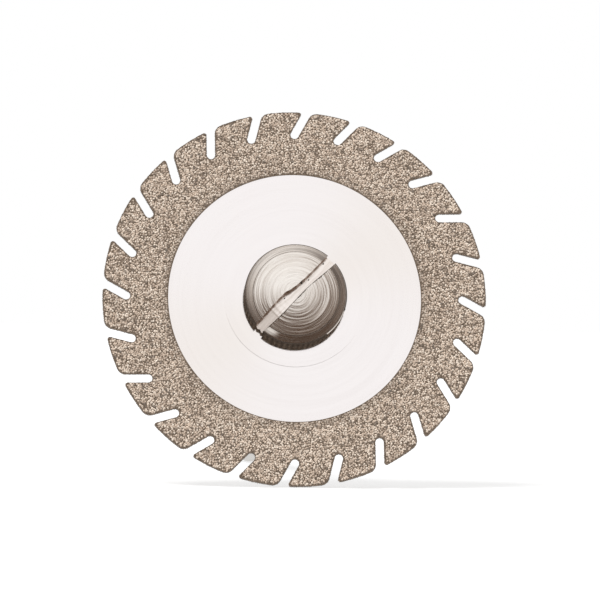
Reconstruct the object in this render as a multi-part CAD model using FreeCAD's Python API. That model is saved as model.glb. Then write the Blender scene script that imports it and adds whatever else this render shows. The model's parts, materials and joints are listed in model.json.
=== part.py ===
import FreeCAD, Part
import math
import os

# A toothed diamond cutting disc, held on a straight handpiece mandrel by a slotted clamp screw.
# All sizes are in millimetres.
#
# Every piece is built on the tool's own axis: z runs along the shank, the disc's middle plane
# lies at z = 0, the screw head points to +z and the shank's end to -z.
# At the end the whole tool is laid down as it comes to rest: on the disc's rim and the shank's end.

# Disc
DISC_DIAMETER = 22.0
BLANK_THICKNESS = 0.15
HUB_DIAMETER = 8.1
HUB_RISE = 0.03
BORE_DIAMETER = 1.85

# Diamond coating round the rim
COATING_THICKNESS = 0.075
COATING_INNER_DIAMETER = 14.4

# Slots between the teeth: each runs beside the centre and ends in a round root
TOOTH_COUNT = 24
SLOT_WIDTH = 0.43
SLOT_OFFSET = 4.67
SLOT_ROOT_RADIUS = 9.63
SLOT_DIRECTION_DEG = -13.9
TOOTH_HEEL_RADIUS = 0.55
HIDDEN_ROOT_SIDES = 4

# Mandrel, turned in one piece
TOOL_LENGTH = 44.5
SHANK_DIAMETER = 2.35
SHANK_END_CHAMFER = 0.3
FLANGE_DIAMETER = 5.0
FLANGE_THICKNESS = 1.1
FLANGE_CHAMFER = 0.15
NECK_DIAMETER = 3.2
NECK_LENGTH = 5.0
NECK_FLARE = 0.4
NECK_TAPER_LENGTH = 1.5
THREAD_HOLE_MARGIN = 0.9
DRILL_POINT_DEG = 118.0

# Clamp screw
HEAD_DIAMETER = 5.86
HEAD_HEIGHT = 1.15
BEVEL_WIDTH = 0.46
BEVEL_HEIGHT = 0.17
COLLAR_HEIGHT = 0.12
HEAD_FOOT_CHAMFER = 0.08
KNURL_COUNT = 60
KNURL_DEPTH = 0.06
DRIVER_SLOT_WIDTH = 0.62
DRIVER_SLOT_DEPTH = 0.6
DRIVER_SLOT_DIRECTION_DEG = 45.0
PILOT_CLEARANCE = 0.025
PILOT_REACH = 0.35
PILOT_HOLE_MARGIN = 0.1
THREAD_DIAMETER = 1.6
THREAD_LENGTH = 4.0
THREAD_CLEARANCE = 0.01
THREAD_END_CHAMFER = 0.2

# Sizes that follow from the ones above
disc_radius = DISC_DIAMETER / 2
hub_half = BLANK_THICKNESS / 2 + HUB_RISE
rim_half = BLANK_THICKNESS / 2 + COATING_THICKNESS
head_top = hub_half + HEAD_HEIGHT
shank_end = head_top - TOOL_LENGTH
shank_radius = SHANK_DIAMETER / 2
bore_radius = BORE_DIAMETER / 2
pilot_radius = bore_radius - PILOT_CLEARANCE
thread_radius = THREAD_DIAMETER / 2
thread_start = -hub_half - PILOT_REACH
thread_end = thread_start - THREAD_LENGTH
axis = FreeCAD.Vector(0, 0, 1)
centre = FreeCAD.Vector(0, 0, 0)


def at(radius, angle):
    """A point in the disc's plane, from its distance and its angle in radians."""
    return FreeCAD.Vector(radius * math.cos(angle), radius * math.sin(angle), 0)


def beside(along, offset, direction):
    """A point on a line that runs in a direction and passes beside the centre by an offset."""
    foot = FreeCAD.Vector(-math.sin(direction), math.cos(direction), 0) * offset
    return foot + FreeCAD.Vector(math.cos(direction), math.sin(direction), 0) * along


def leg(hypotenuse, side):
    """The other side of a right-angled triangle."""
    return math.sqrt(hypotenuse * hypotenuse - side * side)


def bend(start, end, middle, radius):
    """The short arc between two points of a circle, passing on the far side of its middle."""
    half_way = (start + end) * 0.5 - middle
    through = middle + half_way * (radius / half_way.Length)
    return Part.Arc(start, through, end).toShape()


def turned(profile):
    """A solid of revolution about the tool's axis, from points of radius and height."""
    points = [FreeCAD.Vector(radius, 0, height) for radius, height in profile]
    outline = Part.makePolygon(points + points[:1])
    return Part.Face(outline).revolve(centre, axis, 360)


def slot_edges(direction, inset, rounded):
    """One slot with the corners beside it, from the tooth before it to the tooth after it.

    Under the coating the corners are cut straight, clear of the rounded ones by the inset or more.
    """
    radius = disc_radius - inset
    half_width = SLOT_WIDTH / 2 + inset
    heel = TOOTH_HEEL_RADIUS - inset
    heel_wall = SLOT_OFFSET - half_width
    tip_wall = SLOT_OFFSET + half_width
    root_along = leg(SLOT_ROOT_RADIUS, SLOT_OFFSET)
    heel_along = leg(radius - heel, heel_wall - heel)
    heel_centre = beside(heel_along, heel_wall - heel, direction)
    heel_outer = heel_centre * (radius / heel_centre.Length)
    heel_inner = beside(heel_along, heel_wall, direction)
    tip = beside(leg(radius, tip_wall), tip_wall, direction)
    if rounded:
        first = beside(root_along, heel_wall, direction)
        back = beside(root_along - half_width, SLOT_OFFSET, direction)
        last = beside(root_along, tip_wall, direction)
        heel_edge = bend(heel_outer, heel_inner, heel_centre, heel)
        root = [Part.Arc(first, back, last).toShape()]
    else:
        corners = []
        for number in range(HIDDEN_ROOT_SIDES):
            turn = math.pi * (number + 0.5) / HIDDEN_ROOT_SIDES
            reach = half_width / math.cos(math.pi / 2 / HIDDEN_ROOT_SIDES)
            along = root_along - reach * math.sin(turn)
            corners.append(beside(along, SLOT_OFFSET - reach * math.cos(turn), direction))
        first = corners[0]
        last = corners[-1]
        heel_edge = Part.makeLine(heel_outer, heel_inner)
        root = Part.makePolygon(corners).Edges
    edges = [heel_edge, Part.makeLine(heel_inner, first)] + root + [Part.makeLine(last, tip)]
    return edges, heel_outer, tip


def toothed_face(inset, rounded):
    """The disc's outline with its slots, drawn in by an inset all round."""
    radius = disc_radius - inset
    pitch = 2 * math.pi / TOOTH_COUNT
    step = FreeCAD.Rotation(axis, math.degrees(pitch))
    edges = []
    for number in range(TOOTH_COUNT):
        direction = math.radians(SLOT_DIRECTION_DEG) + number * pitch
        slot, heel_outer, tip = slot_edges(direction, inset, rounded)
        edges += slot
        edges.append(bend(tip, step.multVec(heel_outer), centre, radius))
    return Part.Face(Part.Wire(edges))


def toothed_plate(inset, half_thickness, rounded):
    """The toothed outline as a flat plate about the disc's middle plane."""
    face = toothed_face(inset, rounded)
    face.translate(-axis * half_thickness)
    return face.extrude(axis * (2 * half_thickness))


def cylinder(radius, low, high):
    """A round bar on the tool's axis."""
    return Part.makeCylinder(radius, high - low, axis * low)


def make_disc_blank():
    """The polished steel disc, with its teeth, its thin raised hub and its bore."""
    plate = toothed_plate(COATING_THICKNESS, BLANK_THICKNESS / 2, rounded=False)
    hub = cylinder(HUB_DIAMETER / 2, -hub_half, hub_half)
    bore = cylinder(bore_radius, -hub_half * 2, hub_half * 2)
    return plate.fuse(hub).cut(bore).removeSplitter()


def make_diamond_coating(blank):
    """The bonded grit: it wraps both faces, the rim and the walls of every slot."""
    envelope = toothed_plate(0, rim_half, rounded=True)
    middle = cylinder(COATING_INNER_DIAMETER / 2, -rim_half * 2, rim_half * 2)
    return envelope.cut(middle).cut(blank)


def make_mandrel():
    """Shank, neck and flange, with a blind hole for the clamp screw."""
    seat = -hub_half
    flange_back = seat - FLANGE_THICKNESS
    flange_radius = FLANGE_DIAMETER / 2
    neck_radius = NECK_DIAMETER / 2
    neck_end = flange_back - NECK_LENGTH
    taper_end = neck_end - NECK_TAPER_LENGTH
    bar = turned([
        (0, seat),
        (flange_radius - FLANGE_CHAMFER, seat),
        (flange_radius, seat - FLANGE_CHAMFER),
        (flange_radius, flange_back + FLANGE_CHAMFER),
        (flange_radius - FLANGE_CHAMFER, flange_back),
        (neck_radius + NECK_FLARE, flange_back),
        (neck_radius, flange_back - NECK_FLARE),
        (neck_radius, neck_end),
        (shank_radius, taper_end),
        (shank_radius, shank_end + SHANK_END_CHAMFER),
        (shank_radius - SHANK_END_CHAMFER, shank_end),
        (0, shank_end),
    ])
    hole_radius = thread_radius + THREAD_CLEARANCE
    hole_end = thread_end - THREAD_HOLE_MARGIN
    pilot_hole_end = thread_start - PILOT_HOLE_MARGIN
    point_depth = hole_radius / math.tan(math.radians(DRILL_POINT_DEG / 2))
    hole = turned([
        (0, seat),
        (bore_radius, seat),
        (bore_radius, pilot_hole_end),
        (hole_radius, pilot_hole_end),
        (hole_radius, hole_end),
        (0, hole_end - point_depth),
    ])
    return bar.cut(hole)


def knurled_bar(height):
    """A bar with straight V-shaped ridges all round, standing on the hub."""
    ridge_radius = HEAD_DIAMETER / 2
    groove_radius = ridge_radius - KNURL_DEPTH
    step = math.pi / KNURL_COUNT
    points = []
    for number in range(KNURL_COUNT):
        points.append(at(ridge_radius, 2 * number * step))
        points.append(at(groove_radius, (2 * number + 1) * step))
    face = Part.Face(Part.makePolygon(points + points[:1]))
    face.translate(axis * hub_half)
    return face.extrude(axis * height)


def make_clamp_screw():
    """Knurled head with a smooth bevelled collar and a driver slot, a pilot and a threaded end."""
    head_radius = HEAD_DIAMETER / 2
    collar_foot = head_top - BEVEL_HEIGHT - COLLAR_HEIGHT
    grip_form = turned([
        (0, hub_half),
        (head_radius - HEAD_FOOT_CHAMFER, hub_half),
        (head_radius, hub_half + HEAD_FOOT_CHAMFER),
        (head_radius, collar_foot),
        (0, collar_foot),
    ])
    collar = turned([
        (0, collar_foot),
        (head_radius, collar_foot),
        (head_radius, head_top - BEVEL_HEIGHT),
        (head_radius - BEVEL_WIDTH, head_top),
        (0, head_top),
    ])
    head = knurled_bar(collar_foot - hub_half).common(grip_form).fuse(collar)
    slot = Part.makeBox(
        2 * HEAD_DIAMETER, DRIVER_SLOT_WIDTH, DRIVER_SLOT_DEPTH + HEAD_HEIGHT,
        FreeCAD.Vector(-HEAD_DIAMETER, -DRIVER_SLOT_WIDTH / 2, head_top - DRIVER_SLOT_DEPTH))
    slot.rotate(centre, axis, DRIVER_SLOT_DIRECTION_DEG)
    shaft = turned([
        (0, hub_half),
        (pilot_radius, hub_half),
        (pilot_radius, thread_start),
        (thread_radius, thread_start),
        (thread_radius, thread_end + THREAD_END_CHAMFER),
        (thread_radius - THREAD_END_CHAMFER, thread_end),
        (0, thread_end),
    ])
    return head.cut(slot).fuse(shaft).removeSplitter()


def lay_down(pieces):
    """Turn the tool onto its rim and its shank's end, then stand its box on the origin."""
    reach = -rim_half - (shank_end + SHANK_END_CHAMFER)
    tilt = math.degrees(math.atan2(disc_radius - shank_radius, reach))
    for shape in pieces.values():
        shape.rotate(centre, FreeCAD.Vector(1, 0, 0), 90 - tilt)
    box = Part.makeCompound(list(pieces.values())).optimalBoundingBox(False, False)
    shift = FreeCAD.Vector(-box.Center.x, -box.Center.y, -box.ZMin)
    for shape in pieces.values():
        shape.translate(shift)
    print("tilt", round(tilt, 4), "disc centre", [round(value, 4) for value in shift])
    print("size", round(box.XLength, 4), round(box.YLength, 4), round(box.ZLength, 4))


blank = make_disc_blank()
pieces = {
    "disc_blank": blank,
    "diamond_coating": make_diamond_coating(blank),
    "mandrel": make_mandrel(),
    "clamp_screw": make_clamp_screw(),
}
lay_down(pieces)

os.makedirs("parts", exist_ok=True)
for name, shape in pieces.items():
    print(name, shape.ShapeType, len(shape.Solids), "solid", shape.isValid(), round(shape.Volume, 4))
    shape.exportStep("parts/" + name + ".step")
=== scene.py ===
# %% [markdown]
# A mounted diamond cutting disc
#
# The real tool is a steel disc thinner than a fingernail. Its toothed rim is coated with diamond
# grit, and a knurled screw clamps it to a thin mandrel. The construction gives the solids at their
# real size, lying as the tool comes to rest: on the rim and on the end of the shank. This script
# dresses them. It gives each steel its own finish, sows real grains of grit on the rim, and turns
# the screw's head with its tool marks.

# %% Load the construction
import json
import math

import bpy
from mathutils import Matrix, Vector
from mathutils.geometry import tessellate_polygon


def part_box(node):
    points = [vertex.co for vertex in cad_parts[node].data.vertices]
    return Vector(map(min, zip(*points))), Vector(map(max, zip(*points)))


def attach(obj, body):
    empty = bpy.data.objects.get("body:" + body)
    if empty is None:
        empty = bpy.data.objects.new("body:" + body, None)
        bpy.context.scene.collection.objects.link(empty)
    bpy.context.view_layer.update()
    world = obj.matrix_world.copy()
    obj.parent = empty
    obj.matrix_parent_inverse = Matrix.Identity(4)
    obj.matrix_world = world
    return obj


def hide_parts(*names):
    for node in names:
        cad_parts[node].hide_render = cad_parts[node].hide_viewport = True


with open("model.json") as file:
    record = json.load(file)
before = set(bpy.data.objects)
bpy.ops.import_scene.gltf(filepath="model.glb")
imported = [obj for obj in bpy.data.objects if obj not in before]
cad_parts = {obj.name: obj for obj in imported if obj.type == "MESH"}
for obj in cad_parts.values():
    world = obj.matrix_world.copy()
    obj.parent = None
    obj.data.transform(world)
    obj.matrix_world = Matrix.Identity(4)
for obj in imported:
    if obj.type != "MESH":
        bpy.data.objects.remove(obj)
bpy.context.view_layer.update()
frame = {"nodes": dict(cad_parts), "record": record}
nodes = frame["nodes"]
print("pieces in the frame:", sorted(nodes))

# %% [markdown]
# Every piece of this tool is round about one axis, so it is easiest to think in the tool's own
# coordinates: x to the right and y up on the disc, z out of its front face, in millimetres. The
# disc's middle is the middle of its box, and the shank's mount says where the axis points. One
# matrix then carries a mesh from there to its place in the frame, in metres.

# %% The tool's own coordinates
MM = 0.001

blank_low, blank_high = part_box("disc_blank")
disc_centre = (blank_low + blank_high) / 2
shank_mount = frame["record"]["mounts"][0]
front = -Vector(shank_mount["axis"]).normalized()
right = Vector((1, 0, 0))
up = front.cross(right)
turn = Matrix((right, up, front)).transposed()
tool = Matrix.Translation(disc_centre) @ turn.to_4x4()
to_frame = tool @ Matrix.Scale(MM, 4)
print("tilt of the disc", round(math.degrees(math.asin(front.z)), 2), "degrees")

# %% [markdown]
# The sizes are those of the construction. Two things are finer here: the plating has blunted the
# tips of the teeth, and the collar between the bevel and the knurl is higher, to take a round edge.

# %% Sizes of the tool, in millimetres
DISC_RADIUS = 11.0
RIM_HALF = 0.15
COATING_INNER_RADIUS = 7.2
TOOTH_COUNT = 24
SLOT_WIDTH = 0.43
SLOT_OFFSET = 4.67
SLOT_ROOT_RADIUS = 9.63
SLOT_DIRECTION_DEG = -13.9
TOOTH_HEEL_RADIUS = 0.55
TOOTH_TIP_RADIUS = 0.12

HUB_HALF = 0.105
HEAD_RADIUS = 2.93
HEAD_HEIGHT = 1.15
HEAD_TOP = HUB_HALF + HEAD_HEIGHT
BEVEL_WIDTH = 0.46
BEVEL_HEIGHT = 0.17
COLLAR_HEIGHT = 0.19
COLLAR_FOOT = HEAD_TOP - BEVEL_HEIGHT - COLLAR_HEIGHT
FACE_RADIUS = HEAD_RADIUS - BEVEL_WIDTH
FOOT_CHAMFER = 0.08
PILOT_RADIUS = 0.9
THREAD_RADIUS = 0.8
THREAD_START = -HUB_HALF - 0.35
THREAD_LENGTH = 4.0
THREAD_END = THREAD_START - THREAD_LENGTH
KNURL_COUNT = 60
KNURL_DEPTH = 0.06
DRIVER_SLOT_WIDTH = 0.62
DRIVER_SLOT_DEPTH = 0.6
DRIVER_SLOT_DIRECTION = math.radians(45)

# %% [markdown]
# Both shader trees and geometry trees are made of nodes and links. These few helpers write them in
# one line each: add a node and fill its sockets, or add a math node and get its result.

# %% Node helpers


def add(tree, kind, sockets=None, **options):
    """Add a node, set its options, and fill its sockets with values or with other nodes' outputs."""
    made = tree.nodes.new(kind)
    for name, value in options.items():
        setattr(made, name, value)
    for name, value in (sockets or {}).items():
        if isinstance(value, bpy.types.NodeSocket):
            tree.links.new(value, made.inputs[name])
        else:
            made.inputs[name].default_value = value
    return made


def maths(tree, operation, first, second=0.0, clamp=False):
    """One step of arithmetic, and its result."""
    return add(tree, "ShaderNodeMath", {0: first, 1: second},
               operation=operation, use_clamp=clamp).outputs[0]


def vector_maths(tree, operation, first, second=(0, 0, 0)):
    """One step of arithmetic on vectors, and its result."""
    made = add(tree, "ShaderNodeVectorMath", {0: first, 1: second}, operation=operation)
    return made.outputs["Value" if operation in ("LENGTH", "DOT_PRODUCT") else "Vector"]


def smooth_step(tree, value, low, high, at_low=0.0, at_high=1.0):
    """A value that goes smoothly from one end to the other as the input passes a range."""
    sockets = {"Value": value, "From Min": low, "From Max": high, "To Min": at_low, "To Max": at_high}
    return add(tree, "ShaderNodeMapRange", sockets, interpolation_type="SMOOTHSTEP").outputs[0]


def mix_colour(tree, factor, first, second):
    """A colour between two, by a factor."""
    made = add(tree, "ShaderNodeMix", {"Factor": factor}, data_type="RGBA")
    for socket, value in ((made.inputs[6], first), (made.inputs[7], second)):
        if isinstance(value, bpy.types.NodeSocket):
            tree.links.new(value, socket)
        else:
            socket.default_value = (*value, 1)
    return made.outputs[2]


# %% [markdown]
# A material starts as one Principled shader with its constants on its own sockets. Patterns read
# object coordinates, turned and scaled into the tool's own by a Mapping node, so that a ring round
# the axis is just a question of the distance from it.

# %% Material helpers


def new_material(name, **constants):
    """A material with one Principled shader, and its tree."""
    material = bpy.data.materials.new(name)
    material.use_nodes = True
    shader = material.node_tree.nodes["Principled BSDF"]
    for socket, value in constants.items():
        shader.inputs[socket.replace("_", " ")].default_value = value
    return material, material.node_tree, shader


def tool_coordinates(tree):
    """Where a point of the surface lies in the tool's own coordinates, in millimetres."""
    place = add(tree, "ShaderNodeTexCoord").outputs["Object"]
    sockets = {"Vector": place, "Location": disc_centre, "Rotation": turn.to_euler(),
               "Scale": (MM, MM, MM)}
    return add(tree, "ShaderNodeMapping", sockets, vector_type="TEXTURE").outputs[0]


def ring_coordinates(tree, place, around, outward):
    """Coordinates for marks that run round the axis: slow along the circle, quick across it."""
    flat = vector_maths(tree, "MULTIPLY", place, (1, 1, 0))
    radius = vector_maths(tree, "LENGTH", flat)
    heading = vector_maths(tree, "NORMALIZE", flat)
    across = maths(tree, "MULTIPLY", radius, outward)
    slow = vector_maths(tree, "MULTIPLY", heading, (around, around, 0))
    lift = add(tree, "ShaderNodeCombineXYZ", {"Z": across}).outputs[0]
    return vector_maths(tree, "ADD", slow, lift), radius


def towards(tree, place, direction):
    """How squarely a point lies towards a direction on the disc, from 1 to -1 on the far side."""
    heading = vector_maths(tree, "NORMALIZE", vector_maths(tree, "MULTIPLY", place, (1, 1, 0)))
    return vector_maths(tree, "DOT_PRODUCT", heading, (math.cos(direction), math.sin(direction), 0))


def noise(tree, place, scale, detail=2.0, roughness=0.5):
    """A noise pattern as one value from 0 to 1."""
    sockets = {"Vector": place, "Scale": scale, "Detail": detail, "Roughness": roughness}
    return add(tree, "ShaderNodeTexNoise", sockets).outputs[0]


def bump(tree, shader, height, strength, distance):
    """Let a pattern raise the surface by a small distance in metres."""
    made = add(tree, "ShaderNodeBump", {"Height": height, "Strength": strength, "Distance": distance})
    tree.links.new(made.outputs[0], shader.inputs["Normal"])


# %% [markdown]
# The blank is stainless steel, ground and then polished in circles. It is nearly a mirror, so what
# gives it away as a real surface is only a haze of fine rings. Round polish shows a dark corner of a
# room as two opposite fans, and the tint paints the two faint ones of the real disc in as painted
# reflection.

# %% Polished steel of the blank
PAINTED_FAN_DIRECTION = math.radians(32)
PAINTED_FAN_SHARPNESS = 6.0
PAINTED_FAN_STRENGTH = 0.6
polished, tree, shader = new_material("polished_steel", Metallic=1.0)
place = tool_coordinates(tree)
brushing, _ = ring_coordinates(tree, place, 0.9, 4.0)
fine_rings = noise(tree, brushing, 1.0, 3.0, 0.5)
bright_steel = mix_colour(tree, fine_rings, (0.945, 0.905, 0.90), (0.92, 0.875, 0.87))
# Painted reflection: two opposite fans of the blank are tinted darker.
along_painted_fan = maths(tree, "ABSOLUTE", towards(tree, place, PAINTED_FAN_DIRECTION))
painted_fans = maths(tree, "MULTIPLY", maths(tree, "POWER", along_painted_fan, PAINTED_FAN_SHARPNESS), PAINTED_FAN_STRENGTH)
tint = mix_colour(tree, painted_fans, bright_steel, (0.88, 0.82, 0.77))
tree.links.new(tint, shader.inputs["Base Color"])
tree.links.new(smooth_step(tree, fine_rings, 0.3, 0.7, 0.09, 0.12), shader.inputs["Roughness"])
bump(tree, shader, fine_rings, 0.02, 0.002 * MM)
nodes["disc_blank"].data.materials.clear()
nodes["disc_blank"].data.materials.append(polished)
print("finish:", polished.name)

# %% [markdown]
# Nickel grows round the grains and holds them. Between the grains it shows as a dull, dark brown
# and pitted metal.

# %% Nickel bond
bond, tree, shader = new_material("nickel_bond", Metallic=0.6, Roughness=0.5)
place = tool_coordinates(tree)
pits = noise(tree, place, 14.0, 3.0, 0.6)
tint = mix_colour(tree, smooth_step(tree, pits, 0.35, 0.65), (0.17, 0.13, 0.096), (0.35, 0.27, 0.205))
tree.links.new(tint, shader.inputs["Base Color"])
bump(tree, shader, pits, 0.8, 0.02 * MM)
print("finish:", bond.name)

# %% [markdown]
# The grains are small crystals of every shade from clear to brown. Each one carries a random tone
# as an attribute of its mesh, which picks its colour. They are glassy, so their facets flash where
# they face the light. Towards the coating's inner edge they turn a little darker.

# %% Diamond grains
DARK_BAND_WIDTH = 0.7
DARK_BAND_STRENGTH = 0.4
grit, tree, shader = new_material("diamond_grains", Roughness=0.28, IOR=1.9)
tone = add(tree, "ShaderNodeAttribute", attribute_name="tone").outputs["Fac"]
ramp = add(tree, "ShaderNodeValToRGB", {"Fac": tone})
shades = ((0.0, (0.15, 0.113, 0.085)), (0.12, (0.49, 0.38, 0.295)),
          (0.5, (0.72, 0.575, 0.455)), (1.0, (0.91, 0.785, 0.66)))
while len(ramp.color_ramp.elements) < len(shades):
    ramp.color_ramp.elements.new(0.5)
for element, (position, colour) in zip(ramp.color_ramp.elements, shades):
    element.position = position
    element.color = (*colour, 1)
_, radius = ring_coordinates(tree, tool_coordinates(tree), 1.0, 1.0)
dark_end = COATING_INNER_RADIUS + DARK_BAND_WIDTH
inner_dark = smooth_step(tree, radius, COATING_INNER_RADIUS, dark_end, DARK_BAND_STRENGTH, 0.0)
tint = mix_colour(tree, inner_dark, ramp.outputs[0], (0.20, 0.155, 0.12))
tree.links.new(tint, shader.inputs["Base Color"])
print("finish:", grit.name)

# %% [markdown]
# The mandrel is turned from stainless bar and ground on its shank. It shows fine rings round its
# length, so its noise changes quickly along the axis and slowly across it.

# %% Turned steel of the mandrel
turned_bar, tree, shader = new_material("mandrel_steel", Metallic=1.0)
place = tool_coordinates(tree)
stretched = vector_maths(tree, "MULTIPLY", place, (0.4, 0.4, 22.0))
tool_marks = noise(tree, stretched, 1.0, 3.0, 0.6)
clouds = noise(tree, place, 0.8, 3.0)
tint = mix_colour(tree, clouds, (0.66, 0.645, 0.62), (0.76, 0.75, 0.73))
tree.links.new(tint, shader.inputs["Base Color"])
tree.links.new(smooth_step(tree, tool_marks, 0.3, 0.7, 0.20, 0.32), shader.inputs["Roughness"])
bump(tree, shader, tool_marks, 0.35, 0.006 * MM)
print("finish:", turned_bar.name)

# %% [markdown]
# The screw's head was faced on a lathe with a pointed tool. The broad rings of its face are real
# geometry, made further down. The material adds the hair-fine ones between them and a warm tarnish.
# On the bevel it also draws a few darker rings and two dark patches of painted shade.

# %% Turned steel of the screw
BEVEL_SHADE_PATCHES = ((math.radians(33), 0.38), (math.radians(280), 0.22))
SHADE_PATCH_SHARPNESS = 5.0
turned_head, tree, shader = new_material("turned_steel", Metallic=1.0)
place = tool_coordinates(tree)
marks, radius = ring_coordinates(tree, place, 0.7, 16.0)
fine_rings = noise(tree, marks, 1.0, 4.0, 0.7)
clouds = noise(tree, place, 0.9, 3.0)
tarnish = smooth_step(tree, maths(tree, "MULTIPLY", fine_rings, clouds), 0.12, 0.40)
steel_tint = mix_colour(tree, tarnish, (0.97, 0.92, 0.87), (0.92, 0.86, 0.80))
on_bevel = smooth_step(tree, radius, FACE_RADIUS - 0.03, FACE_RADIUS + 0.03)
# Painted shade: two patches of the bevel, towards 33 and 280 degrees, are tinted nearly black.
patch_shade = 0.0
for side, depth in BEVEL_SHADE_PATCHES:
    near_side = maths(tree, "MAXIMUM", towards(tree, place, side), 0.0)
    one_shade_patch = maths(tree, "POWER", near_side, SHADE_PATCH_SHARPNESS)
    patch_shade = maths(tree, "ADD", patch_shade, maths(tree, "MULTIPLY", one_shade_patch, depth))
broad_marks, _ = ring_coordinates(tree, place, 0.5, 8.0)
broad_rings = smooth_step(tree, noise(tree, broad_marks, 1.0, 1.0, 0.5), 0.47, 0.62, 0.0, 0.28)
rings_and_patch_shade = maths(tree, "MULTIPLY", on_bevel, maths(tree, "ADD", patch_shade, broad_rings), clamp=True)
tint = mix_colour(tree, rings_and_patch_shade, steel_tint, (0.10, 0.075, 0.06))
tree.links.new(tint, shader.inputs["Base Color"])
tree.links.new(smooth_step(tree, fine_rings, 0.3, 0.7, 0.18, 0.30), shader.inputs["Roughness"])
bump(tree, shader, fine_rings, 0.4, 0.005 * MM)
print("finish:", turned_head.name)

# %% [markdown]
# The knurled side is gripped by fingers and was never polished after rolling. It is dull and dark
# brown, darker in the grooves and lighter in blotches on the crests.

# %% Knurled steel
knurled_steel, tree, shader = new_material("knurled_steel", Metallic=0.7, Roughness=0.5)
place = tool_coordinates(tree)
_, radius = ring_coordinates(tree, place, 1.0, 1.0)
blotches = noise(tree, place, 3.0, 4.0, 0.6)
crest = smooth_step(tree, radius, HEAD_RADIUS - 0.06, HEAD_RADIUS - 0.01)
crest_blotches = maths(tree, "MULTIPLY", crest, blotches)
tint = mix_colour(tree, crest_blotches, (0.12, 0.092, 0.067), (0.36, 0.285, 0.215))
tree.links.new(tint, shader.inputs["Base Color"])
bump(tree, shader, blotches, 0.5, 0.02 * MM)
print("finish:", knurled_steel.name)

# %% [markdown]
# This nearly black steel is painted shade in the narrow groove round the face and on the head's round
# edge. The burr of the slot and its chips are made of it too.

# %% Nearly black steel, for painted shade and the burr
shade_and_burr_steel, tree, shader = new_material("shade_and_burr_steel", Metallic=0.5, Roughness=0.5)
place = tool_coordinates(tree)
tint = mix_colour(tree, noise(tree, place, 9.0), (0.05, 0.038, 0.03), (0.14, 0.105, 0.08))
tree.links.new(tint, shader.inputs["Base Color"])
print("finish:", shade_and_burr_steel.name)

# %% [markdown]
# A rule makes each repeated shape, so a geometry tree makes it: the tree is written here, its sizes
# are its named inputs, and a modifier runs it on a base mesh. The result is then frozen into a
# plain mesh and carried to its place in the frame.

# %% Geometry tree helpers


def new_tree(name, inputs):
    """A geometry tree with named inputs; gives the tree, its inputs and their identifiers."""
    tree = bpy.data.node_groups.new(name, "GeometryNodeTree")
    tree.interface.new_socket("Geometry", in_out="INPUT", socket_type="NodeSocketGeometry")
    names = {}
    for label, kind in inputs.items():
        socket = tree.interface.new_socket(label, in_out="INPUT", socket_type="NodeSocket" + kind)
        names[label] = socket.identifier
    tree.interface.new_socket("Geometry", in_out="OUTPUT", socket_type="NodeSocketGeometry")
    return tree, tree.nodes.new("NodeGroupInput").outputs, names


def end_tree(tree, geometry, material):
    """Finish a tree: make instances real, give the material and hand the geometry out."""
    real = add(tree, "GeometryNodeRealizeInstances", {0: geometry}).outputs[0]
    painted = add(tree, "GeometryNodeSetMaterial", {"Geometry": real, "Material": material}).outputs[0]
    add(tree, "NodeGroupOutput", {"Geometry": painted})


def new_object(name, vertices, faces):
    """A mesh object from points and faces."""
    mesh = bpy.data.meshes.new(name)
    mesh.from_pydata(vertices, [], faces)
    made = bpy.data.objects.new(name, mesh)
    bpy.context.scene.collection.objects.link(made)
    return made


def grow(base, tree, names, values):
    """Run a tree on a base mesh and freeze the result, in its place in the frame."""
    modifier = base.modifiers.new(tree.name, "NODES")
    modifier.node_group = tree
    for label, value in values.items():
        modifier[names[label]] = value
    depsgraph = bpy.context.evaluated_depsgraph_get()
    result = bpy.data.meshes.new_from_object(base.evaluated_get(depsgraph), depsgraph=depsgraph)
    base.modifiers.clear()
    base.data = result
    result.transform(to_frame)
    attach(base, "root")
    print(base.name, "has", len(result.polygons), "faces")
    return base


# %% [markdown]
# The grit lies on three kinds of ground: the front of the toothed rim, its back, and the narrow
# walls of the rim and the slots. All follow one outline, worked out as a machinist would: each slot
# runs beside the centre, ends in a round root, and leaves a rounded heel and a tip that the plating
# has blunted a little.

# %% Outline of the toothed rim
HEEL_STEPS = 8
ROOT_STEPS = 8
TIP_STEPS = 5
RIM_STEPS = 6


def beside(along, offset, direction):
    """A point on a line that runs in a direction and passes beside the centre by an offset."""
    sine = math.sin(direction)
    cosine = math.cos(direction)
    return Vector((along * cosine - offset * sine, along * sine + offset * cosine))


def arc(middle, radius, start, end, steps):
    """Points along an arc, its last one left out."""
    angles = [start + (end - start) * step / steps for step in range(steps)]
    return [middle + Vector((math.cos(angle), math.sin(angle))) * radius for angle in angles]


def leg(hypotenuse, side):
    """The other side of a right-angled triangle."""
    return math.sqrt(hypotenuse * hypotenuse - side * side)


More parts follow.
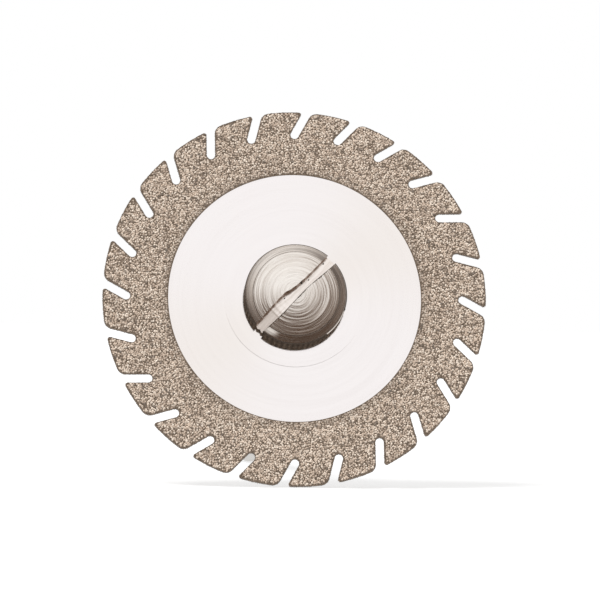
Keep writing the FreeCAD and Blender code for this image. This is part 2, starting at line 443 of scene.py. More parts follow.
def toothed_outline(inset):
    """The rim's outline, anticlockwise, drawn in by an inset."""
    radius = DISC_RADIUS - inset
    half_width = SLOT_WIDTH / 2 + inset
    heel = TOOTH_HEEL_RADIUS - inset
    heel_wall = SLOT_OFFSET - half_width
    tip_wall = SLOT_OFFSET + half_width
    pitch = 2 * math.pi / TOOTH_COUNT
    points = []
    for number in range(TOOTH_COUNT):
        direction = math.radians(SLOT_DIRECTION_DEG) + number * pitch
        heel_middle = beside(leg(radius - heel, heel_wall - heel), heel_wall - heel, direction)
        heel_start = math.atan2(heel_middle.y, heel_middle.x)
        root = beside(leg(SLOT_ROOT_RADIUS, SLOT_OFFSET), SLOT_OFFSET, direction)
        tip_offset = tip_wall + TOOTH_TIP_RADIUS
        tip_middle = beside(leg(radius - TOOTH_TIP_RADIUS, tip_offset), tip_offset, direction)
        tip_angle = math.atan2(tip_middle.y, tip_middle.x)
        tip_start = direction - math.pi / 2
        tip_turn = (tip_angle - tip_start) % (2 * math.pi)
        heel_end = direction + math.pi / 2
        turn_in = (heel_end - heel_start) % (2 * math.pi)
        points += arc(heel_middle, heel, heel_start, heel_start + turn_in, HEEL_STEPS)
        points.append(beside(leg(radius - heel, heel_wall - heel), heel_wall, direction))
        points += arc(root, half_width, tip_start, direction - 3 * math.pi / 2, ROOT_STEPS)
        points.append(root + Vector((-math.sin(direction), math.cos(direction))) * half_width)
        points += arc(tip_middle, TOOTH_TIP_RADIUS, tip_start, tip_start + tip_turn, TIP_STEPS)
        next_heel = (heel_start + pitch - tip_angle) % (2 * math.pi)
        points += arc(Vector((0, 0)), radius, tip_angle, tip_angle + next_heel, RIM_STEPS)
    return points


# %% [markdown]
# The solids take the coating as high as the tops of its grains. The nickel itself is lower, so the
# bond is built again here as a toothed ring a little inside that skin. A toothed ring's faces are
# flat with a round hole, and Blender's tessellator cuts them into triangles. Two ribbons, one along
# the teeth and one along the hole, close it.

# %% Nickel bond under the grains
BOND_DROP = 0.053
BOND_INSET = 0.038
HOLE_STEPS = 180


def ring_points(inset, height):
    """Points of a toothed ring at a height: its outline, then its hole."""
    hole = arc(Vector((0, 0)), COATING_INNER_RADIUS + inset, 0, 2 * math.pi, HOLE_STEPS)
    return [Vector((*point, height)) for point in toothed_outline(inset) + hole]


def ring_faces(points, facing):
    """Triangles of a flat toothed ring that face forwards or backwards."""
    hole_start = len(points) - HOLE_STEPS
    triangles = tessellate_polygon([points[:hole_start], points[hole_start:]])
    first, second, third = (points[corner] for corner in triangles[0])
    if (second - first).cross(third - first).z * facing < 0:
        triangles = [(a, c, b) for a, b, c in triangles]
    return triangles


def ribbon(first, count, shift):
    """Faces between a closed row of points and the same row further on in the list."""
    faces = []
    for step in range(count):
        near = first + step
        beyond = first + (step + 1) % count
        faces.append((near, beyond, beyond + shift, near + shift))
    return faces


def toothed_ring(name, inset, half):
    """A closed toothed ring between two heights."""
    low = ring_points(inset, -half)
    high = ring_points(inset, half)
    count = len(low)
    faces = ring_faces(low, -1)
    faces += [tuple(corner + count for corner in face) for face in ring_faces(high, 1)]
    faces += ribbon(0, count - HOLE_STEPS, count)
    faces += [face[::-1] for face in ribbon(count - HOLE_STEPS, HOLE_STEPS, count)]
    return new_object(name, low + high, faces)


bond_ring = toothed_ring("nickel_bond", BOND_INSET, RIM_HALF - BOND_DROP)
bond_ring.data.transform(to_frame)
bond_ring.data.materials.append(bond)
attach(bond_ring, "root")
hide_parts("diamond_coating")
print("bond has", len(bond_ring.data.polygons), "faces")

# %% [markdown]
# The grains are sown on grounds just under the bond's surface, so that each one sits in the nickel
# with its upper half standing out. The grounds of the two faces end short of the teeth's edges,
# where the grains of the edge take over.

# %% Grounds for the grit
FACE_GRAIN_SINK = 0.06
EDGE_GRAIN_SINK = 0.045
FACE_GROUND_INSET = 0.13


def face_ground(name, height):
    """The toothed ring at a height, facing away from the disc's middle plane."""
    points = ring_points(FACE_GROUND_INSET, height)
    return new_object(name, points, ring_faces(points, 1 if height > 0 else -1))


def edge_ground(name):
    """A ribbon round the rim and through every slot."""
    edge = toothed_outline(EDGE_GRAIN_SINK)
    half = RIM_HALF - FACE_GRAIN_SINK
    points = [(*point, height) for height in (-half, half) for point in edge]
    return new_object(name, points, ribbon(0, len(edge), len(edge)))


grit_front = face_ground("grit_front", RIM_HALF - FACE_GRAIN_SINK)
grit_back = face_ground("grit_back", FACE_GRAIN_SINK - RIM_HALF)
grit_edge = edge_ground("grit_edge")
print("grounds:", [ground.name for ground in (grit_front, grit_back, grit_edge)])

# %% [markdown]
# Poisson scattering keeps the grains from landing on each other, as the plating bath does. Each is
# a crystal with two five-sided points: a sphere of five segments and two rings. It lies flat on
# the ground with any heading and a random tilt, it is stretched at random, and its corners are
# pushed about, so that no two are alike. Spacing, not the density, decides how many there are.

# %% Tree that sows grains
MOST_GRAINS_PER_MM2 = 900.0
grain_inputs = {"Spacing": "Float", "Width": "Float", "Height": "Float", "Tilt": "Float",
                "Roughness": "Float", "Lightest": "Float", "Seed": "Int"}
grain_tree, source, grain_names = new_tree("sow_grains", grain_inputs)
scattered = add(grain_tree, "GeometryNodeDistributePointsOnFaces", {
    "Mesh": source["Geometry"], "Distance Min": source["Spacing"],
    "Density Max": MOST_GRAINS_PER_MM2, "Seed": source["Seed"]}, distribute_method="POISSON")
crystal = add(grain_tree, "GeometryNodeMeshUVSphere", {"Segments": 5, "Rings": 2, "Radius": 0.5})
lean = add(grain_tree, "FunctionNodeRandomValue", {
    "Min": (-1.0, -1.0, 0.0), "Max": (1.0, 1.0, 1.0), "Seed": source["Seed"]}, data_type="FLOAT_VECTOR")
reach = add(grain_tree, "ShaderNodeCombineXYZ", {
    "X": source["Tilt"], "Y": source["Tilt"], "Z": 2 * math.pi})
heading = vector_maths(grain_tree, "MULTIPLY", lean.outputs["Value"], reach.outputs[0])
laid = add(grain_tree, "FunctionNodeRotateRotation", {
    "Rotation": scattered.outputs["Rotation"], "Rotate By": heading}, rotation_space="LOCAL")
stretch = add(grain_tree, "FunctionNodeRandomValue", {"Min": (0.7,) * 3, "Max": (1.25,) * 3},
              data_type="FLOAT_VECTOR")
extent = add(grain_tree, "ShaderNodeCombineXYZ", {
    "X": source["Width"], "Y": source["Width"], "Z": source["Height"]})
size = vector_maths(grain_tree, "MULTIPLY", stretch.outputs["Value"], extent.outputs[0])
sown = add(grain_tree, "GeometryNodeInstanceOnPoints", {
    "Points": scattered.outputs["Points"], "Instance": crystal.outputs["Mesh"],
    "Rotation": laid.outputs[0], "Scale": size})
shade = add(grain_tree, "FunctionNodeRandomValue", data_type="FLOAT")
grain_tree.links.new(source["Lightest"], shade.inputs[3])
toned = add(grain_tree, "GeometryNodeStoreNamedAttribute", {
    "Geometry": sown.outputs[0], "Name": "tone"}, data_type="FLOAT", domain="INSTANCE")
grain_tree.links.new(shade.outputs[1], toned.inputs["Value"])
real = add(grain_tree, "GeometryNodeRealizeInstances", {0: toned.outputs[0]})
corner = add(grain_tree, "GeometryNodeInputIndex")
push = add(grain_tree, "FunctionNodeRandomValue", {
    "Min": (-1, -1, -1), "Max": (1, 1, 1), "ID": corner.outputs[0]}, data_type="FLOAT_VECTOR")
offset = vector_maths(grain_tree, "MULTIPLY", push.outputs["Value"], source["Roughness"])
broken = add(grain_tree, "GeometryNodeSetPosition", {"Geometry": real.outputs[0], "Offset": offset})
end_tree(grain_tree, broken.outputs[0], grit)

# %% [markdown]
# The same tree sows all three grounds, each with a seed of its own. Grains on the teeth's edges are
# smaller, and their dark tone is painted shade that draws the thin dark line round every tooth.

# %% Sow the grains
FIRST_SEED = 11
face_values = {"Spacing": 0.104, "Width": 0.168, "Height": 0.10,
               "Tilt": 0.30, "Roughness": 0.011, "Lightest": 1.0}
# The edge grains' low Lightest tone is painted shade along the teeth's edges.
edge_values = {"Spacing": 0.075, "Width": 0.12, "Height": 0.07,
               "Tilt": 0.20, "Roughness": 0.006, "Lightest": 0.06}
sowings = ((grit_front, face_values), (grit_back, face_values), (grit_edge, edge_values))
for number, (ground, values) in enumerate(sowings):
    grow(ground, grain_tree, grain_names, {**values, "Seed": FIRST_SEED + number})

# %% [markdown]
# The screw and the mandrel are lathe work: a profile of radius and height, swept round the axis.
# A lathe mesh has a pole at each end and is closed. The screw gets four columns for each ridge of
# its knurl.

# %% Lathe helper


def turned(name, profile, columns):
    """A closed mesh of revolution, from points of radius and height that start and end on the axis."""
    rings = profile[1:-1]
    vertices = [(0, 0, profile[0][1])]
    for radius, height in rings:
        for column in range(columns):
            angle = 2 * math.pi * column / columns
            vertices.append((radius * math.cos(angle), radius * math.sin(angle), height))
    vertices.append((0, 0, profile[-1][1]))
    last = len(vertices) - 1
    faces = []
    for column in range(columns):
        beyond = (column + 1) % columns
        faces.append((0, 1 + column, 1 + beyond))
        foot = last - columns
        faces.append((last, foot + beyond, foot + column))
        for ring in range(len(rings) - 1):
            inner = 1 + ring * columns
            outer = inner + columns
            faces.append((inner + column, outer + column, outer + beyond, inner + beyond))
    return new_object(name, vertices, faces)


def span(start, end, steps):
    """Points of a profile from one to another, the first one left out."""
    first = Vector(start)
    last = Vector(end)
    return [tuple(first.lerp(last, step / steps)) for step in range(1, steps + 1)]


# %% [markdown]
# One tree puts three kinds of work on the screw. It presses the straight knurl into the head's
# side, it cuts the rings that the facing tool leaves, and it cuts the thread. The knurl is a wave
# of the angle, deeper in some places than in others. The thread is a wave of angle and height. The
# rings are noise that depends almost only on the radius, because no two turns of a facing tool
# leave the same groove, and they are deeper towards the outside.

# %% Tree for the screw's tool work
screw_inputs = {"Ridges": "Float", "Ridge depth": "Float", "Ring pitch": "Float",
                "Ring depth": "Float", "Thread pitch": "Float", "Thread depth": "Float"}
screw_tree, source, screw_names = new_tree("screw_work", screw_inputs)
place = add(screw_tree, "GeometryNodeInputPosition").outputs[0]
parts = add(screw_tree, "ShaderNodeSeparateXYZ", {0: place}).outputs
flat = vector_maths(screw_tree, "MULTIPLY", place, (1, 1, 0))
radius = vector_maths(screw_tree, "LENGTH", flat)
outward = vector_maths(screw_tree, "NORMALIZE", flat)
angle = maths(screw_tree, "ARCTAN2", parts["Y"], parts["X"])
turns = maths(screw_tree, "DIVIDE", angle, 2 * math.pi)

ridge_phase = maths(screw_tree, "MULTIPLY", turns, source["Ridges"])
ridge_wave = maths(screw_tree, "MULTIPLY", maths(screw_tree, "PINGPONG", ridge_phase, 0.5), 2.0)
at_side = smooth_step(screw_tree, radius, HEAD_RADIUS - 0.03, HEAD_RADIUS - 0.02)
below_collar = smooth_step(screw_tree, parts["Z"], COLLAR_FOOT - 0.005, COLLAR_FOOT + 0.005, 1.0, 0.0)
knurled = maths(screw_tree, "MULTIPLY", at_side, below_collar)
uneven = smooth_step(screw_tree, noise(screw_tree, place, 1.7), 0.3, 0.7, 0.5, 1.3)
ridge_depth = maths(screw_tree, "MULTIPLY", source["Ridge depth"], uneven)
ridge_groove = maths(screw_tree, "MULTIPLY", ridge_wave, ridge_depth)
ridge_cut = maths(screw_tree, "MULTIPLY", ridge_groove, knurled)

lead = maths(screw_tree, "DIVIDE", parts["Z"], source["Thread pitch"])
thread_phase = maths(screw_tree, "SUBTRACT", lead, turns)
thread_wave = maths(screw_tree, "MULTIPLY", maths(screw_tree, "PINGPONG", thread_phase, 0.5), 2.0)
below_start = smooth_step(screw_tree, parts["Z"], THREAD_START - 0.25, THREAD_START - 0.05, 1.0, 0.0)
above_end = smooth_step(screw_tree, parts["Z"], THREAD_END, THREAD_END + 0.3)
on_thread = maths(screw_tree, "MULTIPLY", below_start, above_end)
thread_groove = maths(screw_tree, "MULTIPLY", thread_wave, source["Thread depth"])
thread_cut = maths(screw_tree, "MULTIPLY", thread_groove, on_thread)
inward = maths(screw_tree, "MULTIPLY", maths(screw_tree, "ADD", ridge_cut, thread_cut), -1.0)
sideways = add(screw_tree, "ShaderNodeVectorMath", {0: outward, "Scale": inward},
               operation="SCALE").outputs[0]

rings_per_mm = maths(screw_tree, "DIVIDE", 1.0, source["Ring pitch"])
ring_place, _ = ring_coordinates(screw_tree, place, 0.4, rings_per_mm)
ring_wave = maths(screw_tree, "SUBTRACT", noise(screw_tree, ring_place, 1.0, 2.0, 0.6), 0.5)
deeper_outside = smooth_step(screw_tree, radius, 0.4, 2.2, 0.6, 1.4)
even_height = maths(screw_tree, "MULTIPLY", ring_wave, source["Ring depth"])
ring_height = maths(screw_tree, "MULTIPLY", even_height, deeper_outside)
on_top = smooth_step(screw_tree, parts["Z"], HEAD_TOP - 0.6 * BEVEL_HEIGHT - 0.1, HEAD_TOP - 0.1)
on_face = smooth_step(screw_tree, radius, FACE_RADIUS - 0.12, FACE_RADIUS - 0.06, 1.0, 0.0)
turned_face = maths(screw_tree, "MULTIPLY", on_top, on_face)
rise = maths(screw_tree, "MULTIPLY", ring_height, turned_face)
upwards = add(screw_tree, "ShaderNodeCombineXYZ", {"Z": rise}).outputs[0]
offset = vector_maths(screw_tree, "ADD", sideways, upwards)
worked = add(screw_tree, "GeometryNodeSetPosition", {"Geometry": source["Geometry"], "Offset": offset})
end_tree(screw_tree, worked.outputs[0], turned_head)

# %% [markdown]
# The profile starts on the axis at the top of the face, which is slightly domed. A narrow groove
# leads down to the bevel, a round edge to the collar, and below it come the knurled side, the pilot
# and the thread. The rest is wear and painted shade. A bruise has flattened the bevel beside the slot,
# so that it catches the light. The groove and the edge are painted dark as painted shade, but one
# stretch of the edge is left out and shows bright steel.

# %% Screw
THREAD_STEPS = 60
THREAD_CHAMFER = 0.2
DOME_TOP = HEAD_TOP + 0.07
DOME_DROP = 0.20
FACE_EDGE_STEP = 0.03
FACE_STEP = 0.02
BEVEL_SLOPE = math.radians(11)
EDGE_ROUND = 0.10
EDGE_STEPS = 6
BRUISE_AT = 238
BRUISE_HALF = 13
BRUISE_REACH = HEAD_RADIUS - 0.08
BRUISE_SLOPE = 0.02
UNSHADED_FROM = 307
UNSHADED_TO = 340
SIDE_BAND = 0.09
EDGE_BAND = 0.06
GROOVE_WIDTH = 0.04
KNURLED = 1
SHADE_PAINTED = 2


def dome(radius):
    """Height of the head's face, which falls a little towards its edge."""
    return DOME_TOP - DOME_DROP * (radius / FACE_RADIUS) ** 2


def head_surface(radius):
    """Height of the head's face or of its bevel."""
    if radius < FACE_RADIUS:
        return dome(radius)
    return dome(FACE_RADIUS) - FACE_EDGE_STEP - (radius - FACE_RADIUS) * math.tan(BEVEL_SLOPE)


face_steps = round((FACE_RADIUS - GROOVE_WIDTH) / FACE_STEP)
screw_profile = [(0, DOME_TOP)]
screw_profile += [(FACE_STEP * step, dome(FACE_STEP * step)) for step in range(1, face_steps + 1)]
bevel_start = Vector((FACE_RADIUS, dome(FACE_RADIUS) - FACE_EDGE_STEP))
bevel_width = HEAD_RADIUS - EDGE_ROUND * (1 - math.sin(BEVEL_SLOPE)) - FACE_RADIUS
bevel_end = bevel_start + Vector((bevel_width, -bevel_width * math.tan(BEVEL_SLOPE)))
screw_profile.append(tuple(bevel_start))
screw_profile += span(bevel_start, bevel_end, 5)
for step in range(1, EDGE_STEPS + 1):
    slope = BEVEL_SLOPE + (math.pi / 2 - BEVEL_SLOPE) * step / EDGE_STEPS
    screw_profile.append((HEAD_RADIUS - EDGE_ROUND * (1 - math.sin(slope)),
                          bevel_end.y - EDGE_ROUND * (math.cos(BEVEL_SLOPE) - math.cos(slope))))
screw_profile += [(HEAD_RADIUS, COLLAR_FOOT + 0.01), (HEAD_RADIUS - 0.01, COLLAR_FOOT - 0.01)]
screw_profile += span(screw_profile[-1], (HEAD_RADIUS - 0.01, HUB_HALF + FOOT_CHAMFER), 4)
screw_profile += [(HEAD_RADIUS - FOOT_CHAMFER, HUB_HALF), (PILOT_RADIUS, HUB_HALF)]
screw_profile += [(PILOT_RADIUS, THREAD_START), (THREAD_RADIUS, THREAD_START)]
screw_profile += span(screw_profile[-1], (THREAD_RADIUS, THREAD_END + THREAD_CHAMFER), THREAD_STEPS)
screw_profile += [(THREAD_RADIUS - THREAD_CHAMFER, THREAD_END), (0, THREAD_END)]

clamp_screw = turned("clamp_screw_head", screw_profile, 4 * KNURL_COUNT)
for vertex in clamp_screw.data.vertices:
    out = vertex.co.xy.length
    if out > FACE_RADIUS and vertex.co.z > COLLAR_FOOT + 0.02:
        aside = math.degrees(math.atan2(vertex.co.y, vertex.co.x)) % 360 - BRUISE_AT
        flattened = max(0, 1 - (aside / BRUISE_HALF) ** 2) * (math.tan(BEVEL_SLOPE) - BRUISE_SLOPE)
        vertex.co.z += (min(out, BRUISE_REACH) - FACE_RADIUS) * flattened
screw_values = {"Ridges": float(KNURL_COUNT), "Ridge depth": KNURL_DEPTH, "Ring pitch": 0.22,
                "Ring depth": 0.024, "Thread pitch": 0.35, "Thread depth": 0.17}
grow(clamp_screw, screw_tree, screw_names, screw_values)
clamp_screw.data.materials.append(knurled_steel)
clamp_screw.data.materials.append(shade_and_burr_steel)
from_tool = tool.inverted()
for face in clamp_screw.data.polygons:
    middle = (from_tool @ face.center) / MM
    out = middle.xy.length
    heading = math.degrees(math.atan2(middle.y, middle.x)) % 360
    on_side = out > HEAD_RADIUS - SIDE_BAND and HUB_HALF < middle.z < COLLAR_FOOT
    in_groove = FACE_RADIUS - GROOVE_WIDTH < out < FACE_RADIUS and middle.z > COLLAR_FOOT
    on_edge = out > HEAD_RADIUS - EDGE_BAND and middle.z > COLLAR_FOOT
    # This stretch of the edge is left without painted shade, so its steel shows bright.
    unshaded_stretch = UNSHADED_FROM < heading < UNSHADED_TO
    if on_side:
        face.material_index = KNURLED
    # Painted shade: the groove round the face and the head's round edge get the nearly black steel.
    elif in_groove or (on_edge and not unshaded_stretch):
        face.material_index = SHADE_PAINTED

# %% [markdown]
# A slitting saw cuts the driver slot through the finished head. The saw is a bar, and a Boolean
# modifier takes it away. The cut faces keep the bar's own material, which is brighter and smoother,
# because nothing has rubbed or tarnished there.

# %% Milled steel of the slot
milled, tree, shader = new_material("milled_slot", Metallic=1.0)
place = tool_coordinates(tree)
along_slot = add(tree, "ShaderNodeMapping", {
    "Vector": place, "Rotation": (0, 0, DRIVER_SLOT_DIRECTION), "Scale": (1.5, 0.08, 1.0)},
    vector_type="TEXTURE").outputs[0]
saw_marks = noise(tree, along_slot, 1.0, 3.0, 0.6)
tint = mix_colour(tree, smooth_step(tree, saw_marks, 0.35, 0.7), (0.97, 0.90, 0.85), (0.91, 0.83, 0.77))
tree.links.new(tint, shader.inputs["Base Color"])
tree.links.new(smooth_step(tree, saw_marks, 0.3, 0.7, 0.16, 0.22), shader.inputs["Roughness"])
bump(tree, shader, saw_marks, 0.15, 0.004 * MM)
print("finish:", milled.name)

# %% [markdown]
# Three lines along the slot say where its left wall, its right wall and its floor run. The saw
# wandered: the left wall is pinched, wavy and kinked, and the floor ripples and bends downwards.

# %% Cut the driver slot
SAW_STEPS = 160
SAW_LENGTH = 2.4 * HEAD_RADIUS
SAW_TOP = HEAD_TOP + 0.4
FLOOR_RIPPLE = 0.0016
RIPPLE_LENGTH = 0.33
RIPPLES_FROM = -1.6
RIPPLES_TO = -0.6
FLOOR_SLOPE = 0.065
BEND_AT = -1.1
KINK_AT = -0.55
KINK_DEPTH = 0.15
PINCH_AT = 1.2
PINCH_DEPTH = 0.035
WALL_WAVE = 0.008


def left_wall(along):
    """Where the slot's left wall runs: pinched in its upper half, and kinked outwards below it."""
    reach = 0.35 if along > KINK_AT else 1.3
    kink = KINK_DEPTH * math.exp(-0.5 * ((along - KINK_AT) / reach) ** 2)
    pinch = PINCH_DEPTH * math.exp(-((along - PINCH_AT) / 0.8) ** 2)
    return DRIVER_SLOT_WIDTH / 2 + kink - pinch + WALL_WAVE * math.sin(11.3 * along)


def right_wall(along):
    """Where the slot's right wall runs."""
    return 0.05 + 0.04 * math.cos(1.5 * (along - 0.6)) - DRIVER_SLOT_WIDTH / 2


def slot_floor(along):
    """Height of the slot's floor, which ripples a little and bends down at its lower end."""
    past = max(BEND_AT - along, 0)
    bend = past * past / 0.8 if past < 0.4 else past - 0.2
    rippled = RIPPLES_FROM < along < RIPPLES_TO
    ripple = FLOOR_RIPPLE * math.sin(2 * math.pi * along / RIPPLE_LENGTH) if rippled else 0
    return HEAD_TOP - DRIVER_SLOT_DEPTH + ripple - FLOOR_SLOPE * bend


def saw_bar():
    """The bar that the slot is cut with."""
    points = []
    for step in range(SAW_STEPS + 1):
        along = SAW_LENGTH * (step / SAW_STEPS - 0.5)
        right_side = right_wall(along)
        left_side = left_wall(along)
        bottom = slot_floor(along)
        points += [(along, right_side, bottom), (along, right_side, SAW_TOP),
                   (along, left_side, SAW_TOP), (along, left_side, bottom)]
    faces = [(0, 1, 2, 3), tuple(4 * SAW_STEPS + corner for corner in (3, 2, 1, 0))]
    for step in range(SAW_STEPS):
        for corner in range(4):
            near = 4 * step + corner
            beyond = 4 * step + (corner + 1) % 4
            faces.append((near, near + 4, beyond + 4, beyond))
    return new_object("saw_bar", points, faces)


saw = saw_bar()
saw.data.materials.append(milled)
saw.data.transform(to_frame @ Matrix.Rotation(DRIVER_SLOT_DIRECTION, 4, "Z"))
cut = clamp_screw.modifiers.new("slot", "BOOLEAN")
cut.object = saw
cut.operation = "DIFFERENCE"
cut.solver = "EXACT"
cut.material_mode = "TRANSFER"
depsgraph = bpy.context.evaluated_depsgraph_get()
slotted = bpy.data.meshes.new_from_object(clamp_screw.evaluated_get(depsgraph), depsgraph=depsgraph)
clamp_screw.modifiers.clear()
clamp_screw.data = slotted
bpy.data.objects.remove(saw)
slotted.shade_smooth()
slotted.set_sharp_from_angle(angle=math.radians(22))
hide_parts("clamp_screw")
print("screw has", len(slotted.polygons), "faces and materials", [m.name for m in slotted.materials])

# %% [markdown]
# The saw throws up a burr along the right wall, a dark and ragged hair of steel, and leaves a few
# chips in the slot and one at the head's edge. The burr is a thin three-sided thread that follows
# the wall, and each chip is a small eight-sided lump.

# %% Burr and chips
BURR_STEPS = 110
BURR_REACH = 2.72
BURR_WIDTH = 0.10
BURR_LEAST = 0.15
CHIP_SIZE = 0.07
CHIP_HEIGHT = HEAD_TOP - DRIVER_SLOT_DEPTH + 0.02
CHIPS = ((2.44, 0.20, CHIP_HEIGHT), (0.75, 0.25, CHIP_HEIGHT + 0.1), (1.17, 0.12, CHIP_HEIGHT - 0.02),
         (-0.58, 0.31, CHIP_HEIGHT), (1.36, -2.58, HEAD_TOP - 0.28))


def burr_and_chips():
    """One mesh with the burr and the chips, each a closed shell."""
    points = []
    for step in range(BURR_STEPS + 1):
        along = BURR_REACH * (2 * step / BURR_STEPS - 1)
        wall = right_wall(along)
        slow_wave = math.sin(4.1 * along + 1)
        quick_wave = math.sin(23 * along) * math.sin(7.7 * along)
        width = BURR_WIDTH * max(0.6 + 0.2 * slow_wave + 0.2 * quick_wave, BURR_LEAST)
        top = head_surface(math.hypot(along, wall))
        points += [(along, wall + 0.008, top - 0.03), (along, wall - 0.3 * width, top + 0.45 * width),
                   (along, wall - width, top - 0.02)]
    faces = [(0, 1, 2), tuple(3 * BURR_STEPS + corner for corner in (2, 1, 0))]
    for step in range(BURR_STEPS):
        for corner in range(3):
            near = 3 * step + corner
            beyond = 3 * step + (corner + 1) % 3
            faces.append((near, near + 3, beyond + 3, beyond))
    for chip in CHIPS:
        first = len(points)
        centre = Vector(chip)
        corners = [Vector(c) * CHIP_SIZE for c in ((1, 0, 0), (0, 0.7, 0), (-0.8, 0, 0), (0, -0.6, 0))]
        corners += [Vector((0, 0, 0.7 * CHIP_SIZE)), Vector((0, 0, -CHIP_SIZE))]
        points += [tuple(centre + corner) for corner in corners]
        for side in range(4):
            beyond = (side + 1) % 4
            faces.append((first + side, first + beyond, first + 4))
            faces.append((first + beyond, first + side, first + 5))
    return new_object("slot_burr", points, faces)


burr = burr_and_chips()
burr.data.transform(to_frame @ Matrix.Rotation(DRIVER_SLOT_DIRECTION, 4, "Z"))
burr.data.materials.append(shade_and_burr_steel)
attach(burr, "root")
print("burr has", len(burr.data.polygons), "faces")

# %% [markdown]
# The mandrel is the same kind of lathe work with more columns than the construction's own mesh, so
# that its shank is round in a close view. Its profile starts at the bottom of the blind hole, comes
# out at the seat, and goes over the flange and down the neck to the shank's end.

# %% Mandrel
BORE_RADIUS = 0.925
FLANGE_RADIUS = 2.5
FLANGE_THICKNESS = 1.1
FLANGE_CHAMFER = 0.15
NECK_RADIUS = 1.6
NECK_FLARE = 0.4
NECK_LENGTH = 5.0
TAPER_LENGTH = 1.5
SHANK_RADIUS = 1.175
SHANK_END_CHAMFER = 0.3
TOOL_LENGTH = 44.5
HOLE_RADIUS = THREAD_RADIUS + 0.01
HOLE_END = THREAD_END - 0.9
DRILL_POINT = math.radians(59)
MANDREL_COLUMNS = 96

flange_back = -HUB_HALF - FLANGE_THICKNESS
neck_end = flange_back - NECK_LENGTH
shank_end = HEAD_TOP - TOOL_LENGTH
hole_point = HOLE_END - HOLE_RADIUS / math.tan(DRILL_POINT)
mandrel_profile = [
    (0, hole_point), (HOLE_RADIUS, HOLE_END), (HOLE_RADIUS, THREAD_START - 0.1),
    (BORE_RADIUS, THREAD_START - 0.1), (BORE_RADIUS, -HUB_HALF),
    (FLANGE_RADIUS - FLANGE_CHAMFER, -HUB_HALF), (FLANGE_RADIUS, -HUB_HALF - FLANGE_CHAMFER),
    (FLANGE_RADIUS, flange_back + FLANGE_CHAMFER), (FLANGE_RADIUS - FLANGE_CHAMFER, flange_back),
    (NECK_RADIUS + NECK_FLARE, flange_back), (NECK_RADIUS, flange_back - NECK_FLARE),
    (NECK_RADIUS, neck_end), (SHANK_RADIUS, neck_end - TAPER_LENGTH),
    (SHANK_RADIUS, shank_end + SHANK_END_CHAMFER), (SHANK_RADIUS - SHANK_END_CHAMFER, shank_end),
    (0, shank_end),
]
mandrel = turned("mandrel_turned", mandrel_profile, MANDREL_COLUMNS)
mandrel.data.transform(to_frame)
mandrel.data.materials.append(turned_bar)
mandrel.data.shade_smooth()
mandrel.data.set_sharp_from_angle(angle=math.radians(12))
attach(mandrel, "root")
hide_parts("mandrel")
print("mandrel has", len(mandrel.data.polygons), "faces and ends at", round(shank_end, 3))

# %% [markdown]
# The camera looks at the disc almost square on, from a quarter of a metre. Its tilt against the
# disc and its distance come from the photograph, where the disc is an ellipse and the screw's head
# stands a little off its middle.

# %% Camera
IMAGE_SIDE = 600
PIXELS_PER_MM = 17.5068
DISC_AT = (294.232, 297.488)
VIEW_DISTANCE = 250.0
TILT_TO_RIGHT = math.radians(-4.0)
TILT_TO_TOP = math.radians(-13.102)
SENSOR = 36.0

sight = Vector((math.sin(TILT_TO_RIGHT), math.sin(TILT_TO_TOP), 0))
sight.z = leg(1, sight.length)
camera_right = Vector((0, 1, 0)).cross(sight).normalized()
camera_up = sight.cross(camera_right)
middle = (IMAGE_SIDE - 1) / 2
sideways = (middle - DISC_AT[0]) / PIXELS_PER_MM
downwards = (middle - DISC_AT[1]) / PIXELS_PER_MM
camera_place = sight * VIEW_DISTANCE + camera_right * sideways - camera_up * downwards
camera_turn = turn @ Matrix((camera_right, camera_up, sight)).transposed()

camera_data = bpy.data.cameras.new("camera")
camera_data.sensor_width = SENSOR
camera_data.lens = SENSOR * VIEW_DISTANCE * PIXELS_PER_MM / IMAGE_SIDE
camera = bpy.data.objects.new("camera", camera_data)
camera.matrix_world = Matrix.Translation(tool @ (camera_place * MM)) @ camera_turn.to_4x4()
bpy.context.scene.collection.objects.link(camera)
bpy.context.scene.camera = camera
print("lens", round(camera_data.lens, 1), "mm, camera at", camera.location)

# %% [markdown]
# Metal shows what stands round it, so the studio has to be there for reflections. In front of the
# disc hangs one big soft box, a little above the camera, and a dark curtain closes off what lies
# below it. Away from the front the room is pale grey, brighter overhead and near the floor than at
# eye level. The camera itself sees white, and dull surfaces get an even, pale light.

# %% Studio
scene = bpy.context.scene
scene.view_settings.view_transform = "Standard"
world = bpy.data.worlds.new("studio")
world.use_nodes = True
scene.world = world
tree = world.node_tree
background = tree.nodes["Background"]
rays = add(tree, "ShaderNodeLightPath").outputs
direction = add(tree, "ShaderNodeTexCoord").outputs["Generated"]
SOFT_BOX_MIDDLE = turn @ Vector((-0.01, 0.36, 0.933))
SOFT_BOX_SPREAD = 0.066
SOFT_BOX_GAIN = 2.05
CURTAIN_GREY = 0.09
CURTAIN_SIDE = turn @ Vector((-0.20, -0.98, 0))
facing_box = vector_maths(tree, "DOT_PRODUCT", direction, SOFT_BOX_MIDDLE)
beside_box = maths(tree, "SUBTRACT", 2.0, maths(tree, "MULTIPLY", facing_box, 2.0))
soft_box = maths(tree, "EXPONENT", maths(tree, "DIVIDE", beside_box, -SOFT_BOX_SPREAD))
toward_curtain = vector_maths(tree, "DOT_PRODUCT", direction, CURTAIN_SIDE)
open_part = smooth_step(tree, toward_curtain, -0.178, -0.015, 1.0, 0.05)
glow = maths(tree, "MULTIPLY", maths(tree, "MULTIPLY", soft_box, open_part), SOFT_BOX_GAIN)
front_level = maths(tree, "MINIMUM", maths(tree, "ADD", glow, CURTAIN_GREY), 1.0)
height = add(tree, "ShaderNodeSeparateXYZ", {0: direction}).outputs["Z"]
overhead = smooth_step(tree, height, 0.1, 0.8, 0.58, 0.95)
near_floor = smooth_step(tree, height, -0.5, 0.0, 0.30, 0.0)
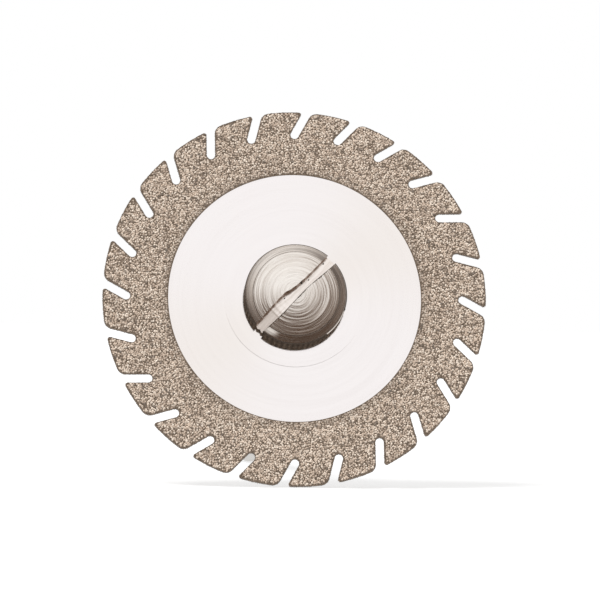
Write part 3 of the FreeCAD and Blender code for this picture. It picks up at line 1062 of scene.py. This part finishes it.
room_level = maths(tree, "ADD", overhead, near_floor)
facing_front = vector_maths(tree, "DOT_PRODUCT", direction, front)
outside = smooth_step(tree, facing_front, 0.58, 0.795, 1.0, 0.0)
CHANNELS = ("Red", "Green", "Blue")
warmed = [maths(tree, "POWER", front_level, power) for power in (1.0, 1.18, 1.32)]
front_tint = add(tree, "ShaderNodeCombineColor", dict(zip(CHANNELS, warmed))).outputs[0]
greys = [maths(tree, "MULTIPLY", room_level, part) for part in (1.0, 0.985, 0.965)]
room_tint = add(tree, "ShaderNodeCombineColor", dict(zip(CHANNELS, greys))).outputs[0]
tent = mix_colour(tree, outside, front_tint, room_tint)
mirrored = maths(tree, "ADD", rays["Is Glossy Ray"], rays["Is Transmission Ray"], clamp=True)
seen = mix_colour(tree, mirrored, (0.42, 0.415, 0.41), tent)
shown = mix_colour(tree, rays["Is Camera Ray"], seen, (1, 1, 1))
tree.links.new(shown, background.inputs["Color"])
print("studio has", len(tree.nodes), "nodes")

# %% [markdown]
# Two wide suns light the floor and the grit. A sun has no distance, so the floor is equally bright
# everywhere, and the width of its disc makes the shadow soft. The metal doesn't show them: it has
# the tent.

# %% Lamps


def sun(name, azimuth, elevation, strength, width):
    """A distant lamp in a direction, with a width in degrees."""
    lamp = bpy.data.lights.new(name, "SUN")
    lamp.energy = strength
    lamp.angle = math.radians(width)
    made = bpy.data.objects.new(name, lamp)
    heading = math.radians(azimuth)
    height = math.radians(elevation)
    away = Vector((math.sin(heading) * math.cos(height), -math.cos(heading) * math.cos(height),
                   math.sin(height)))
    made.rotation_euler = away.to_track_quat("Z", "Y").to_euler()
    made.visible_glossy = False
    scene.collection.objects.link(made)
    return made


sun("key_sun", -40, 55, 2.6, 25)
sun("fill_sun", 50, 60, 0.4, 60)
print("lamps:", len(bpy.data.lights))

# %% [markdown]
# The floor is a plain grey sheet that takes the tool's shadow. It glows for the camera alone, just
# enough to look as white as the background.

# %% Floor
FLOOR_HALF = 3.0
FLOOR_GREY = 0.4
FLOOR_GLOW = 0.68
floor_material, tree, shader = new_material("floor", Roughness=0.9, IOR=1.0)
shader.inputs["Base Color"].default_value = (FLOOR_GREY, FLOOR_GREY, FLOOR_GREY, 1)
shader.inputs["Emission Color"].default_value = (1, 1, 1, 1)
rays = add(tree, "ShaderNodeLightPath").outputs
floor_glow = maths(tree, "MULTIPLY", rays["Is Camera Ray"], FLOOR_GLOW)
tree.links.new(floor_glow, shader.inputs["Emission Strength"])
corners = [(x * FLOOR_HALF, y * FLOOR_HALF, 0) for x, y in ((-1, -1), (1, -1), (1, 1), (-1, 1))]
floor = new_object("floor", corners, [(0, 1, 2, 3)])
floor.data.materials.append(floor_material)
floor.visible_glossy = False
